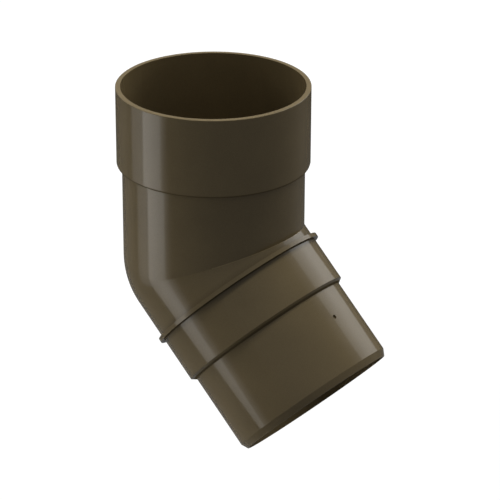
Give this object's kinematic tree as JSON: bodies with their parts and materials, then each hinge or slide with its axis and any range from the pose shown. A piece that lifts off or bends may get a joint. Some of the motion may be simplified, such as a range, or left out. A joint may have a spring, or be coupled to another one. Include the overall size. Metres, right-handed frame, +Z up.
{
  "type": "downspout elbow",
  "caption": "Round rainwater downspout elbow: socket on top, straight body, mitred bend, ringed collar and a smaller spigot that enters the next pipe.",
  "frame": {"origin": "middle of the socket's mouth, on the socket's axis", "axes": "+Z up along the socket's axis and out of its mouth; the leg runs down and towards +X in the XZ plane"},
  "size_m": [0.1329, 0.09, 0.1715],
  "materials": {
    "shell": "satin dark olive brown, moulded"
  },
  "bodies": {
    "root": {"elbow": "shell"}
  },
  "joints": []
}
